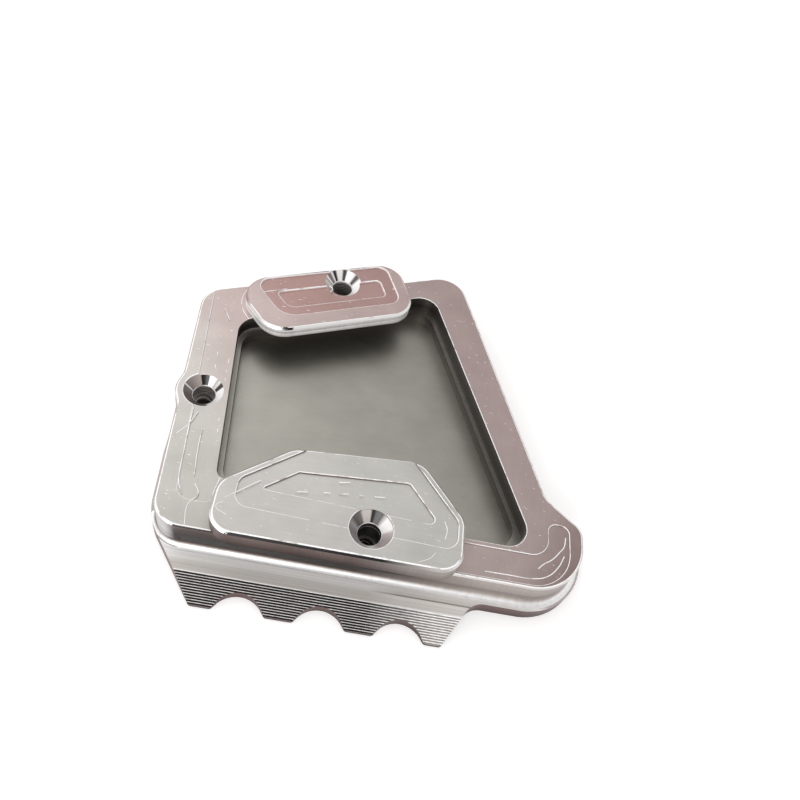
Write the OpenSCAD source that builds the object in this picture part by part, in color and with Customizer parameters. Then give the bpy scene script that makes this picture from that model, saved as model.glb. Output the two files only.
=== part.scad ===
// Kickstand foot enlarger: a toothed base plate, a rim plate on top of it and two clamp plates on the rim.
// X runs along the toothed near edge, Y away from it, Z up from the ground.

/* [Plates] */
// thickness of the base plate under the rim
base_t = 7.2; // [6:0.1:9]
// height of the ledge and of the root of the toe above the ground
ledge_t = 3.9; // [3.4:0.1:4.4]
// thickness of the rim plate
rim_t = 5; // [4.5:0.1:7]
// thickness of the near clamp
near_clamp_t = 4.9; // [3.8:0.1:6]
// thickness of the far clamp
far_clamp_t = 3.2; // [3:0.1:6]

/* [Outline of the rim] */
// from the datum to the near wall of the rim
near_wall = 44.9; // [44:0.1:46]
// from the datum to the near left corner of the rim
left_wall = 50.8; // [50:0.2:52]
// lean of the left wall, degrees
left_lean = 4.4; // [3.5:0.1:5.5]
// angle between the near edge and the far edge, degrees
fan_angle = 24.5; // [23.5:0.1:25.5]
// from the datum to the far wall of the rim, square to that wall
far_wall = 44.45; // [43.5:0.05:45]
// how far the far wall steps back on its right
far_step = 4.85; // [4:0.05:5.2]
// where that step stands, along the far wall
far_step_at = 5; // [4:0.2:8]
// angle of the step to the far wall, degrees
far_step_angle = 60; // [50:1:75]
// lean of the right wall, degrees
right_lean = 20.5; // [20:0.1:21.6]
// from the datum to the waist of the right wall, along X
waist_x = 38.8; // [38:0.1:39.4]
// from the datum to the waist, along Y
waist_y = 20.9; // [20:0.1:21.5]
// from the datum to the right wall of the lobe
lobe_wall = 47.8; // [47.2:0.1:49]
// from the datum to the upper corner of the lobe
lobe_top = 27.8; // [27:0.1:29]
// corner radius of the rim on its left and far right
corner_r = 7; // [5:0.5:8]
// corner radius of the lobe
lobe_r = 13; // [10:0.5:14]
// radius of the upper corner of the lobe
lobe_top_r = 4; // [3:0.5:5]
// radius in the waist
waist_r = 5; // [3:0.5:6]
// radii of the step in the far wall
far_step_r = 3.5; // [2:0.5:4]
// chamfer round the top of the rim
rim_chamfer = 0.4; // [0.2:0.1:0.8]

/* [Opening for the foot] */
// from the datum to the left wall of the opening at its near end
open_left = 39.6; // [39:0.2:41]
// lean of that wall, degrees
open_left_lean = 6.2; // [5:0.2:7]
// from the datum to the near wall of the opening at its left end
open_near_left = 31.5; // [31:0.2:33]
// from the datum to the near wall of the opening at its right end
open_near = 35.4; // [34.6:0.1:35.8]
// where the near wall of the opening bends
open_bend = 16; // [12:0.5:18]
// from the datum to the right wall of the opening at its near end
open_right = 36.2; // [35.6:0.1:36.6]
// lean of that wall, degrees
open_right_lean = 22.2; // [21.6:0.1:22.6]
// from the datum to the far wall of the opening, square to that wall
open_far = 33; // [32:0.1:33.6]
// corner radius at the near left of the opening
open_left_r = 3; // [2:0.5:4]
// corner radius at the far left of the opening
open_far_left_r = 5.5; // [3:0.5:7]
// corner radius on the right of the opening
open_right_r = 5; // [4:0.5:6]
// how far the pocket in the base plate stands inside the opening
seat_step = 1.1; // [0.6:0.1:1.6]
// depth of that pocket
seat_depth = 3; // [2:0.1:4]
// corner radius of that pocket
seat_r = 5.5; // [3:0.5:6]

/* [Shallow recess in the left arm] */
// depth of the recess
arm_recess_depth = 0.3; // [0.2:0.05:0.5]
// from the datum to the near left corner of the recess, along X
arm_recess_x = 46.8; // [46:0.1:48]
// from the datum to the near side of the recess
arm_recess_y = 38; // [36:0.5:39]
// lean of its left side, degrees
arm_recess_lean = 5.9; // [5:0.1:6.5]
// from the datum to its right side
arm_recess_right = 39.5; // [39:0.1:40.5]
// how far the raised pad for the far clamp stands out round that clamp
pad_border = 1.1; // [0.6:0.1:1.6]

/* [Shallow recess in the lobe] */
// depth of the recess
lobe_recess_depth = 0.3; // [0.2:0.05:0.5]
// where the recess starts, beyond the datum and under the near clamp
lobe_recess_start = 14; // [12:0.5:16]
// border between the recess and the near wall
lobe_recess_front = 1; // [0.8:0.1:1.4]
// border between the recess and the right wall of the lobe
lobe_recess_side = 3.5; // [3:0.1:4]
// from the datum to the round end of the recess
lobe_recess_end = 27.6; // [27:0.1:28.4]
// land between the recess and the near wall of the opening
lobe_recess_land = 1.1; // [0.9:0.1:1.5]
// land between the recess and the right end of the opening
lobe_recess_in = 3; // [2.6:0.1:3.4]
// radius of the outer corner of the recess
lobe_recess_r = 9.5; // [8:0.5:10]
// corner radius at the round end of the recess
lobe_recess_end_r = 2.1; // [1.8:0.1:2.4]
// corner radius of the recess round the opening
lobe_recess_in_r = 4.5; // [3:0.5:5]

/* [Toe] */
// from the datum to the tips of the teeth
tip_line = 57.3; // [56:0.1:58.5]
// from the datum to the top of the ridged slope
slope_line = 51.1; // [50:0.1:52]
// height of the tips
tip_t = 0.9; // [0.6:0.1:1.4]
// number of ridges on the slope
ridge_count = 12; // [8:1:14]
// depth of the grooves between the ridges
ridge_depth = 0.3; // [0.2:0.05:0.4]
// number of gaps between the teeth
gap_count = 3; // [2:1:3]
// distance between the gaps
gap_pitch = 18.1; // [17:0.1:18.4]
// radius of a gap
gap_r = 6.2; // [5.5:0.1:6.4]
// depth of a gap
gap_depth = 3.8; // [3:0.1:4.4]
// lean of the sides of a gap, degrees
gap_lean = 35; // [30:1:40]
// from the datum to the first gap
first_gap = 28.6; // [28:0.1:29.4]
// radius on the tips
tip_r = 1; // [0.5:0.1:1.2]
// from the datum to the right end of the last tooth
toe_end = 17.4; // [17:0.1:19]
// slope of the right side of the last tooth, degrees
toe_end_angle = 59; // [50:1:65]
// slope of the left side of the first tooth, degrees
toe_left_angle = 52.5; // [48:0.1:56]
// from the datum to the left end of the first tooth
toe_left = 39.3; // [38:0.1:40]
// radius where the toe runs into the left side
toe_left_r = 16; // [8:1:18]
// radius where the toe runs into the ledge on the right
toe_end_r = 5; // [3:0.5:6]

/* [Ledge] */
// width of the ledge along the near wall and round the lobe
ledge_w = 2.1; // [1.8:0.1:2.4]
// where the left ledge starts, beyond the datum
left_ledge_start = 12; // [8:0.5:13]
// width of the ledge at the lower left
left_ledge_w = 1.6; // [1.2:0.1:2.6]
// where the left ledge is widest
left_ledge_at = 23; // [20:0.5:26]
// fillet at the foot of the near wall
foot_r = 1.8; // [1:0.1:1.8]

/* [Screw holes] */
// across the head cone
head_d = 10; // [9:0.1:11]
// clearance bore under the head
clear_d = 5.5; // [5.1:0.1:6]
// short straight wall over the head cone, below the deepest recess that it meets in a clamp
cone_land = 0.1; // [0.1:0.05:0.3]
// core of the threaded bores
core_d = 4.2; // [4:0.1:4.6]
// hole in the left arm of the rim, X and Y
boss_x = -48; // [-48.5:0.1:-47.5]
boss_y = -8.4; // [-14:0.1:0]
// radius of the boss round that hole
boss_r = 6.8; // [6.2:0.1:7]
// slope of the boss flanks, degrees
boss_lean = 20; // [16:1:24]
// blend radius beside the boss
boss_blend = 8; // [4:0.5:10]
// hole in the near clamp, X and Y
near_hole_x = -3.3; // [-8:0.1:2]
near_hole_y = -39.5; // [-40:0.1:-38.8]
// hole in the far clamp, along and square to the far wall
far_hole_u = -4.1; // [-8:0.1:0]
far_hole_n = 39.4; // [38.6:0.1:39.6]

/* [Near clamp] */
// left end
near_clamp_left = 38.4; // [37.6:0.1:39]
// right end
near_clamp_right = 17.9; // [17:0.1:19]
// how far it hangs over the near wall of the rim
near_clamp_over = 1.95; // [0:0.05:2]
// height of the left corner above the near edge of the clamp
near_clamp_left_h = 12.25; // [10:0.05:12.5]
// height of the right corner above the near edge of the clamp
near_clamp_right_h = 13.3; // [13:0.1:15]
// far left corner, X
near_clamp_far_left = -23.45; // [-25:0.05:-22]
// far left corner, height above the near edge of the clamp
near_clamp_far_left_h = 23.85; // [23:0.05:25]
// far right corner, X
near_clamp_far_right = 6.8; // [5:0.1:8]
// far right corner, height above the near edge of the clamp
near_clamp_far_right_h = 26.6; // [26:0.1:28]
// chamfer round the top of both clamps
clamp_chamfer = 0.6; // [0.3:0.1:0.8]
// corner radius of the near clamp
near_clamp_r = 5.5; // [4:0.1:5.8]

/* [Far clamp] */
// left end at the far wall, along that wall
far_clamp_left = 34.5; // [33.6:0.1:36]
// left end at the inner edge, along the far wall
far_clamp_left_in = 28.2; // [27:0.1:29]
// right end
far_clamp_right = 13.2; // [12:0.1:14]
// how far its far edge stands inside the far wall of the rim
far_clamp_set = 0.05; // [0:0.05:0.6]
// width of the far clamp
far_clamp_w = 19.35; // [18.6:0.05:20.4]
// corner radius of the far clamp on its left
far_clamp_left_r = 7.6; // [5:0.1:9]
// corner radius of the far clamp at the right of its inner edge
far_clamp_near_r = 7; // [5:0.1:8]
// corner radius of the far clamp at the right of the far wall
far_clamp_far_r = 6.5; // [5:0.1:10]

/* [Recesses in the clamps] */
// depth of each step
recess_step = 0.5; // [0.3:0.05:0.7]
// border at the left of the near clamp
near_recess_left = 4.6; // [4:0.1:5.2]
// border along the near edge of the near clamp, below the datum
near_recess_front = 6.1; // [5.4:0.1:6.6]
// lean of the low side of both recesses, degrees
near_recess_lean = 1.7; // [1:0.1:2]
// slim border at the slanted ends and the right of the near clamp
near_recess_slim = 1.7; // [1.4:0.1:2.2]
// depth of the arrow behind the near edge of the near clamp
near_arrow_front = 11.4; // [10.8:0.1:12]
// border of the arrow at the slanted ends and the far edge
near_arrow_slim = 5.9; // [5.4:0.1:6.2]
// border at the left end of the far clamp
far_recess_left = 5.9; // [5:0.1:6.4]
// border at the right end of the far clamp
far_recess_right = 3.6; // [3:0.1:4.4]
// border along the inner edge of the far clamp
far_recess_front = 4.5; // [4:0.1:5]
// slim border along the far edge of the far clamp
far_recess_slim = 0.9; // [0.8:0.1:1.4]
// depth of the inner step behind the far edge of the far clamp
far_inner_back = 5.6; // [5:0.1:6.4]
// how far the inner step stands inside the outer one in the far clamp
far_inner_set = 3.2; // [2.4:0.1:3.6]
// corner radius of the outer step
recess_r = 3; // [2:0.1:3.2]
// corner radius of the inner step
recess_in_r = 1.2; // [0.8:0.1:1.6]
// radius on the points of the arrow
arrow_r = 0.4; // [0.2:0.1:0.8]

/* [Hidden] */
$fn = 96;

// overshoot of cuts
cut = 0.1;
// arcs are drawn this much larger, so that they cross the sides that they run into
grow = 1.001;
// how far a wedge opens past its arc on each side, degrees
spread = 4;
// the circle of the foot fillet is drawn this much larger, so that it crosses wall and ledge
foot_grow = 1.006;
// how far a wedge starts behind the middle of its arc, as a share of the radius
behind = 0.3;

function unit(v) = v / norm(v);
function heading(a) = [cos(a), sin(a)];
function turn(v, a) = [v[0] * cos(a) - v[1] * sin(a), v[0] * sin(a) + v[1] * cos(a)];
function cross2(a, b) = a[0] * b[1] - a[1] * b[0];
// where a line through p along angle a meets a line through q along angle b
function meet(p, a, q, b) = p + heading(a) * cross2(q - p, heading(b)) / cross2(heading(a), heading(b));
// a point given along the far wall and square to it
function fan(u, n) = turn([u, n], fan_angle);
function at(c, i) = c[(i + len(c)) % len(c)];
function spot(c, i) = [at(c, i)[0], at(c, i)[1]];
function rad(c, i) = at(c, i)[2];
function dir_in(c, i) = unit(spot(c, i) - spot(c, i - 1));
function dir_out(c, i) = unit(spot(c, i + 1) - spot(c, i));
function ang(v) = atan2(v[1], v[0]);
function bend(c, i) = asin(max(-1, min(1, cross2(dir_in(c, i), dir_out(c, i)))));
// turn at a corner, degrees, positive to the left
function swing(c, i) = dir_in(c, i) * dir_out(c, i) < 0
    ? sign(bend(c, i)) * (180 - abs(bend(c, i)))
    : bend(c, i);
function reach(c, i) = rad(c, i) * tan(abs(swing(c, i)) / 2);
function arc_start(c, i) = spot(c, i) - dir_in(c, i) * reach(c, i);
function arc_end(c, i) = spot(c, i) + dir_out(c, i) * reach(c, i);
function hub(c, i) = arc_start(c, i) + turn(dir_in(c, i), 90 * sign(swing(c, i))) * rad(c, i);

// middle of the wedge that holds an arc, a little behind the middle of the arc itself
function wedge(c, i) =
    let (
        m = hub(c, i),
        b = unit(spot(c, i) - m),
        s = sign(swing(c, i)),
        far = 2 * rad(c, i) + 4
    )
    [
        m - b * rad(c, i) * behind,
        m + heading(ang(arc_start(c, i) - m) - s * spread) * far,
        m + b * far,
        m + heading(ang(arc_end(c, i) - m) + s * spread) * far
    ];

// an outline with its outer corners cut back to the middles of their arcs
function skeleton(c) = [for (i = [0:len(c) - 1]) each swing(c, i) > 0
    ? [arc_start(c, i), hub(c, i), arc_end(c, i)]
    : [arc_start(c, i), arc_end(c, i)]
];

// flat shape with rounded corners, from a list of [x, y, radius] taken anticlockwise
module rounded(c) {
    last = len(c) - 1;
    difference() {
        union() {
            polygon(skeleton(c));
            for (i = [0:last]) {
                if (swing(c, i) > 0) {
                    arc_piece(c, i);
                }
            }
        }
        for (i = [0:last]) {
            if (swing(c, i) < 0) {
                arc_piece(c, i);
            }
        }
    }
}

module arc_piece(c, i) {
    intersection() {
        translate(hub(c, i))
            circle(r = rad(c, i) * grow);
        polygon(wedge(c, i));
    }
}

// plate with rounded corners and a chamfer round its top edge
module chamfered(c, h, size) {
    last = len(c) - 1;
    difference() {
        union() {
            difference() {
                linear_extrude(height = h)
                    polygon(skeleton(c));
                for (i = [0:last]) {
                    translate([0, 0, h])
                        along_side(c, i)
                            polygon([[-size - cut, cut], [cut, cut], [cut, -size - cut]]);
                }
            }
            for (i = [0:last]) {
                if (swing(c, i) > 0) {
                    turned(c, i, h, -size, 0);
                }
            }
        }
        for (i = [0:last]) {
            if (swing(c, i) < 0) {
                turned(c, i, h, size, cut);
            }
        }
    }
}

// round piece of a corner, its radius changing by size over the chamfer at the top
module turned(c, i, h, size, over) {
    r = rad(c, i) * grow;
    m = hub(c, i);
    flare = size + sign(size) * over;
    intersection() {
        translate([m[0], m[1], 0])
            rotate_extrude()
                polygon([
                    [0, -over],
                    [r, -over],
                    [r, h - abs(size)],
                    [r + flare, h + over],
                    [0, h + over]
                ]);
        translate([0, 0, -2 * cut])
            linear_extrude(height = h + 4 * cut)
                polygon(wedge(c, i));
    }
}

// a flat profile carried along a straight side, its X pointing out of the outline
module along_side(c, i) {
    start = arc_end(c, i) - dir_out(c, i) * (swing(c, i) > 0 ? cut : 0);
    stop = arc_start(c, i + 1) + dir_out(c, i) * (swing(c, i + 1) > 0 ? cut : 0);
    translate([stop[0], stop[1], 0])
        rotate([90, 0, ang(dir_out(c, i)) - 90])
            linear_extrude(height = norm(stop - start))
                children();
}

// heights
rim_z = base_t;
top_z = base_t + rim_t;
seat_z = base_t - seat_depth;

// corners of the rim
far_angle = fan_angle + 180;
left_dir = 90 + left_lean;
right_dir = 90 + right_lean;
near_left = [-left_wall, -near_wall];
far_left = meet(near_left, left_dir, fan(0, far_wall), fan_angle);
waist = [waist_x, -waist_y];
far_right = meet(waist, right_dir, fan(0, far_wall - far_step), fan_angle);
step_foot = fan(far_step_at + far_step / tan(far_step_angle) / 2, far_wall - far_step);
step_head = fan(far_step_at - far_step / tan(far_step_angle) / 2, far_wall);

// the boss on the left wall, measured from that wall
boss = [boss_x, boss_y];
boss_in = cross2(heading(left_dir), near_left - boss);
boss_foot = boss + turn(heading(left_dir), 90) * boss_in;
boss_half = (boss_r - boss_in * cos(boss_lean)) / sin(boss_lean);
boss_tip = boss + turn(heading(left_dir), 90) * boss_r / cos(boss_lean);
boss_high = boss_foot + heading(left_dir) * boss_half;
boss_low = boss_foot - heading(left_dir) * boss_half;

rim_corners = [
    [near_left[0], near_left[1], corner_r],
    [lobe_wall, -near_wall, lobe_r],
    [lobe_wall, -lobe_top, lobe_top_r],
    [waist[0], waist[1], waist_r],
    [far_right[0], far_right[1], corner_r],
    [step_foot[0], step_foot[1], far_step_r],
    [step_head[0], step_head[1], far_step_r],
    [far_left[0], far_left[1], corner_r],
    [boss_high[0], boss_high[1], boss_blend],
    [boss_tip[0], boss_tip[1], boss_r],
    [boss_low[0], boss_low[1], boss_blend]
];

// an outline with every radius set to r
function even(c, r) = [for (p = c) [p[0], p[1], r]];

// an outline moved inwards by d, its radii following
function inset(c, d) = [for (i = [0:len(c) - 1])
    let (
        p = spot(c, i) + turn(dir_in(c, i), 90) * d,
        q = spot(c, i) + turn(dir_out(c, i), 90) * d,
        m = meet(p, ang(dir_in(c, i)), q, ang(dir_out(c, i)))
    )
    [m[0], m[1], rad(c, i) - d * sign(swing(c, i))]
];

// corners of the ledge and the toe, which run in under the rim at both ends
base_near = -near_wall - ledge_w;
toe_left_tip = [-toe_left, -tip_line];
toe_end_tip = [toe_end, -tip_line];
toe_root = meet(toe_end_tip, toe_end_angle, [0, base_near], 0);
lobe_corner = [lobe_wall, -lobe_top];
slant = waist - lobe_corner;
slant_out = lobe_corner + turn(unit(slant), -90) * ledge_w;
base_lobe_top = meet(slant_out, ang(slant), [lobe_wall + ledge_w, 0], 90);
slant_end = slant_out + slant * 2;
left_ledge = [
    -left_wall - (near_wall - left_ledge_at) * tan(left_lean) - left_ledge_w,
    -left_ledge_at
];
left_start = meet(near_left, left_dir, [0, left_ledge_start], 0);
left_end = left_start + (left_start - left_ledge) / 4;
toe_left_root = meet(left_ledge, left_dir, toe_left_tip, 180 - toe_left_angle);
gap_apex = -tip_line + gap_depth - gap_r + gap_r / sin(gap_lean);
gap_half = (gap_apex + tip_line) * tan(gap_lean);

function gap_corners(x) = [
    [x - gap_half, -tip_line, tip_r],
    [x, gap_apex, gap_r],
    [x + gap_half, -tip_line, tip_r]
];

base_corners = [
    [toe_left_tip[0], toe_left_tip[1], tip_r],
    for (g = [0:gap_count - 1]) each gap_corners(g * gap_pitch - first_gap),
    [toe_end_tip[0], toe_end_tip[1], tip_r],
    [toe_root[0], toe_root[1], toe_end_r],
    [lobe_wall + ledge_w, base_near, lobe_r + ledge_w],
    [base_lobe_top[0], base_lobe_top[1], lobe_top_r + ledge_w],
    [slant_end[0], slant_end[1], waist_r],
    [left_end[0], left_end[1], waist_r],
    [left_ledge[0], left_ledge[1], toe_left_r],
    [toe_left_root[0], toe_left_root[1], toe_left_r]
];

// corners of the opening
open_near_corner = [-open_left, -open_near_left];
open_right_corner = [open_right, -open_near];
open_far_left = meet(open_near_corner, 90 + open_left_lean, fan(0, open_far), fan_angle);
open_far_right = meet(open_right_corner, 90 + open_right_lean, fan(0, open_far), fan_angle);

open_corners = [
    [open_near_corner[0], open_near_corner[1], open_left_r],
    [open_bend, -open_near, open_right_r],
    [open_right_corner[0], open_right_corner[1], open_right_r],
    [open_far_right[0], open_far_right[1], open_right_r],
    [open_far_left[0], open_far_left[1], open_far_left_r]
];

// corners of the near clamp
near_edge = -near_wall - near_clamp_over;
near_clamp_corners = [
    [-near_clamp_left, near_edge, near_clamp_r],
    [near_clamp_right, near_edge, near_clamp_r],
    [near_clamp_right, near_edge + near_clamp_right_h, near_clamp_r],
    [near_clamp_far_right, near_edge + near_clamp_far_right_h, near_clamp_r],
    [near_clamp_far_left, near_edge + near_clamp_far_left_h, near_clamp_r],
    [-near_clamp_left, near_edge + near_clamp_left_h, near_clamp_r]
];
near_slim = inset(near_clamp_corners, near_recess_slim);
near_wide = inset(near_clamp_corners, near_arrow_slim);
near_open = inset(near_clamp_corners, -1);

// where side i of one outline meets side j of another
function side_meet(a, i, b, j) = meet(spot(a, i), ang(dir_out(a, i)), spot(b, j), ang(dir_out(b, j)));
function corner(p, r) = [p[0], p[1], r];

near_recess_x = -near_clamp_left + near_recess_left;
near_recess_low = [0, near_edge + near_recess_front];
near_recess_corners = [
    corner(meet(near_recess_low, -near_recess_lean, [near_recess_x, 0], 90), recess_r),
    corner(meet(near_recess_low, -near_recess_lean, [near_clamp_right - near_recess_slim, 0], 90), recess_r),
    [near_slim[2][0], near_slim[2][1], recess_r],
    corner(side_meet(near_slim, 2, near_open, 3), recess_in_r),
    corner(side_meet(near_slim, 4, near_open, 3), recess_in_r),
    corner(meet(spot(near_slim, 4), ang(dir_out(near_slim, 4)), [near_recess_x, 0], 90), recess_r)
];
near_arrow_low = [0, near_edge + near_arrow_front];
near_arrow_corners = [
    corner(meet(spot(near_wide, 4), ang(dir_out(near_wide, 4)), near_arrow_low, -near_recess_lean), arrow_r),
    corner(meet(spot(near_wide, 2), ang(dir_out(near_wide, 2)), near_arrow_low, -near_recess_lean), recess_in_r),
    [near_wide[3][0], near_wide[3][1], recess_in_r],
    [near_wide[4][0], near_wide[4][1], arrow_r]
];

// corners of the far clamp, along and square to the far wall
far_clamp_far = far_wall - far_clamp_set;
far_clamp_near = far_clamp_far - far_clamp_w;
far_clamp_flat = [
    [-far_clamp_left_in, far_clamp_near, far_clamp_left_r],
    [far_clamp_right, far_clamp_near, far_clamp_near_r],
    [far_clamp_right, far_clamp_far, far_clamp_far_r],
    [-far_clamp_left, far_clamp_far, far_clamp_left_r]
];
far_end = inset(far_clamp_flat, far_recess_left);
far_recess_near = far_clamp_near + far_recess_front;
far_recess_far = far_clamp_far - far_recess_slim;
far_recess_flat = [
    corner(meet(spot(far_end, 3), ang(dir_out(far_end, 3)), [0, far_recess_near], 0), recess_r * 2),
    [far_clamp_right - far_recess_right, far_recess_near, recess_r],
    [far_clamp_right - far_recess_right, far_recess_far, recess_r],
    corner(meet(spot(far_end, 3), ang(dir_out(far_end, 3)), [0, far_recess_far], 0), recess_r)
];
far_inner = inset(far_recess_flat, far_inner_set);
far_inner_far = far_clamp_far - far_inner_back;
far_inner_flat = [
    [far_inner[0][0], far_inner[0][1], recess_r],
    [far_inner[1][0], far_inner[1][1], recess_in_r],
    [far_inner[2][0], far_inner_far, recess_in_r],
    corner(meet(spot(far_inner, 3), ang(dir_out(far_inner, 3)), [0, far_inner_far], 0), recess_in_r)
];

// corners of the recess in the lobe, which turns round the near right corner of the opening
lobe_recess_foot = [lobe_wall - lobe_recess_side, -near_wall + lobe_recess_front];
lobe_recess_corners = [
    [lobe_recess_start, lobe_recess_foot[1], recess_in_r],
    [lobe_recess_foot[0], lobe_recess_foot[1], recess_in_r],
    [lobe_recess_foot[0], -lobe_recess_end, lobe_recess_end_r],
    [open_right + lobe_recess_in, -lobe_recess_end, lobe_recess_end_r],
    [open_right + lobe_recess_in, -open_near - lobe_recess_land, lobe_recess_in_r],
    [lobe_recess_start, -open_near - lobe_recess_land, recess_in_r]
];

// corners of the recess in the left arm, which runs out through the far wall and into the opening
arm_recess_foot = [-arm_recess_x, -arm_recess_y];
// a point inside the opening
arm_recess_turn = [-34, 8];
arm_recess_head = meet(arm_recess_foot, 90 + arm_recess_lean, [0, far_wall], 0);
arm_recess_corners = [
    [arm_recess_foot[0], arm_recess_foot[1], recess_r],
    [-arm_recess_right, -arm_recess_y, recess_in_r],
    [arm_recess_turn[0], arm_recess_turn[1], recess_in_r],
    [arm_recess_turn[0], far_wall, recess_in_r],
    [arm_recess_head[0], far_wall, recess_in_r]
];

// middle of the overall length and width
west = hub(rim_corners, 7)[0] - corner_r;
east = lobe_wall + ledge_w;
north = hub(rim_corners, 4)[1] + corner_r;
middle = [(west + east) / 2, (north - tip_line) / 2];

far_hole = fan(far_hole_u, far_hole_n);
near_hole = [near_hole_x, near_hole_y];
holes = [boss, near_hole, far_hole];

module set_down() {
    translate([-middle[0], -middle[1], 0])
        children();
}

// through bore with a head cone, cut into a face at height z, the cone sunk below that face by sunk
module screw_cut(p, z, depth, sunk = 0) {
    cone = (head_d - clear_d) / 2;
    translate([p[0], p[1], z])
        rotate_extrude()
            polygon([
                [0, -depth - cut],
                [clear_d / 2, -depth - cut],
                [clear_d / 2, -sunk - cone],
                each sunk > 0
                    ? [[head_d / 2, -sunk], [head_d / 2, cut]]
                    : [[head_d / 2 + cut, cut]],
                [0, cut]
            ]);
}

// saw-edged cut above the slope of the toe, drawn in Y and Z
module slope_profile() {
    run = tip_line - slope_line;
    fall = ledge_t - tip_t;
    polygon([
        for (i = [0:ridge_count - 1]) each [
            [-slope_line - run * i / ridge_count, ledge_t - fall * i / ridge_count],
            [
                -slope_line - run * (i + 0.5) / ridge_count,
                ledge_t - fall * (i + 0.5) / ridge_count - ridge_depth
            ]
        ],
        [-tip_line, tip_t],
        [-tip_line - 1, tip_t],
        [-tip_line - 1, ledge_t + 1],
        [-slope_line, ledge_t + 1]
    ]);
}

// concave fillet between the ledge and the wall above it
module foot_profile() {
    difference() {
        translate([-foot_r, -foot_r])
            square(2 * foot_r);
        translate([foot_r, foot_r])
            circle(r = foot_r * foot_grow);
    }
}

module foot_fillet() {
    c = rim_corners;
    intersection() {
        translate([0, 0, ledge_t]) {
            // along the near wall
            translate([arc_start(c, 1)[0], -near_wall, 0])
                rotate([90, 0, -90])
                    linear_extrude(height = arc_start(c, 1)[0] - arc_end(c, 0)[0])
                        foot_profile();
            // round the near left corner, up to the near wall
            translate([hub(c, 0)[0], hub(c, 0)[1], 0])
                rotate([0, 0, -90])
                    mirror([0, 1, 0])
                        rotate_extrude(angle = swing(c, 0))
                            translate([corner_r, 0])
                                foot_profile();
            // round the lobe
            translate([hub(c, 1)[0], hub(c, 1)[1], 0])
                rotate([0, 0, -90])
                    rotate_extrude(angle = swing(c, 1))
                        translate([lobe_r, 0])
                            foot_profile();
            // up the right wall of the lobe
            translate([lobe_wall, lobe_r - near_wall, 0])
                rotate([90, 0, 180])
                    linear_extrude(height = near_wall - lobe_r - lobe_top)
                        mirror([1, 0])
                            foot_profile();
        }
        linear_extrude(height = base_t)
            rounded(base_corners);
    }
}

module base_plate() {
    color([0.78, 0.76, 0.74])
        set_down() {
            difference() {
                union() {
                    linear_extrude(height = ledge_t)
                        rounded(base_corners);
                    linear_extrude(height = base_t)
                        rounded(rim_corners);
                    foot_fillet();
                }
                translate([-left_wall - 10, 0, 0])
                    rotate([90, 0, 90])
                        linear_extrude(height = left_wall + toe_end + 20)
                            slope_profile();
                translate([0, 0, seat_z])
                    linear_extrude(height = seat_depth + cut)
                        rounded(even(inset(open_corners, seat_step), seat_r));
                for (p = holes) {
                    translate([p[0], p[1], -cut])
                        cylinder(h = base_t + 2 * cut, d = core_d);
                }
            }
        }
}

// shallow recess along the left arm, round the pad that the far clamp stands on
module arm_recess() {
    translate([0, 0, top_z - arm_recess_depth])
        difference() {
            linear_extrude(height = arm_recess_depth + cut)
                rounded(arm_recess_corners);
            translate([0, 0, -cut])
                rotate([0, 0, fan_angle])
                    linear_extrude(height = arm_recess_depth + 3 * cut)
                        rounded(inset(far_clamp_flat, -pad_border));
        }
}

// recess in the lobe, its outer corner cut to a radius wider than the recess itself
module lobe_recess() {
    turn_r = lobe_recess_r + cut;
    translate([0, 0, top_z - lobe_recess_depth])
        linear_extrude(height = lobe_recess_depth + cut)
            difference() {
                rounded(lobe_recess_corners);
                translate(lobe_recess_foot + [-lobe_recess_r, lobe_recess_r])
                    difference() {
                        translate([0, -turn_r])
                            square(turn_r);
                        circle(r = lobe_recess_r * grow);
                    }
            }
}

module rim_plate() {
    color([0.8, 0.78, 0.77])
        set_down() {
            difference() {
                translate([0, 0, rim_z])
                    chamfered(rim_corners, rim_t, rim_chamfer);
                arm_recess();
                lobe_recess();
                translate([0, 0, rim_z - cut])
                    linear_extrude(height = rim_t + 2 * cut)
                        rounded(open_corners);
                screw_cut(boss, top_z, rim_t);
                for (p = [near_hole, far_hole]) {
                    translate([p[0], p[1], rim_z - cut])
                        cylinder(h = rim_t + 2 * cut, d = clear_d);
                }
            }
        }
}

module far_clamp() {
    color([0.76, 0.72, 0.71])
        set_down() {
            difference() {
                rotate([0, 0, fan_angle]) {
                    difference() {
                        translate([0, 0, top_z])
                            chamfered(far_clamp_flat, far_clamp_t, clamp_chamfer);
                        translate([0, 0, top_z + far_clamp_t - recess_step])
                            linear_extrude(height = recess_step + cut)
                                rounded(far_recess_flat);
                        translate([0, 0, top_z + far_clamp_t - 2 * recess_step])
                            linear_extrude(height = 2 * recess_step + cut)
                                rounded(far_inner_flat);
                    }
                }
                screw_cut(far_hole, top_z + far_clamp_t, far_clamp_t, recess_step + cone_land);
            }
        }
}

module near_clamp() {
    color([0.82, 0.81, 0.79])
        set_down() {
            difference() {
                translate([0, 0, top_z])
                    chamfered(near_clamp_corners, near_clamp_t, clamp_chamfer);
                translate([0, 0, top_z + near_clamp_t - recess_step])
                    linear_extrude(height = recess_step + cut)
                        rounded(near_recess_corners);
                translate([0, 0, top_z + near_clamp_t - 2 * recess_step])
                    linear_extrude(height = 2 * recess_step + cut)
                        rounded(near_arrow_corners);
                screw_cut(near_hole, top_z + near_clamp_t, near_clamp_t, 2 * recess_step + cone_land);
            }
        }
}

base_plate();
rim_plate();
far_clamp();
near_clamp();
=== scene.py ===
"""Looks of a kickstand foot enlarger: four milled aluminium pieces with empty countersunk screw holes."""

import math

import bmesh
import bpy
from mathutils import Matrix, Vector


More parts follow.
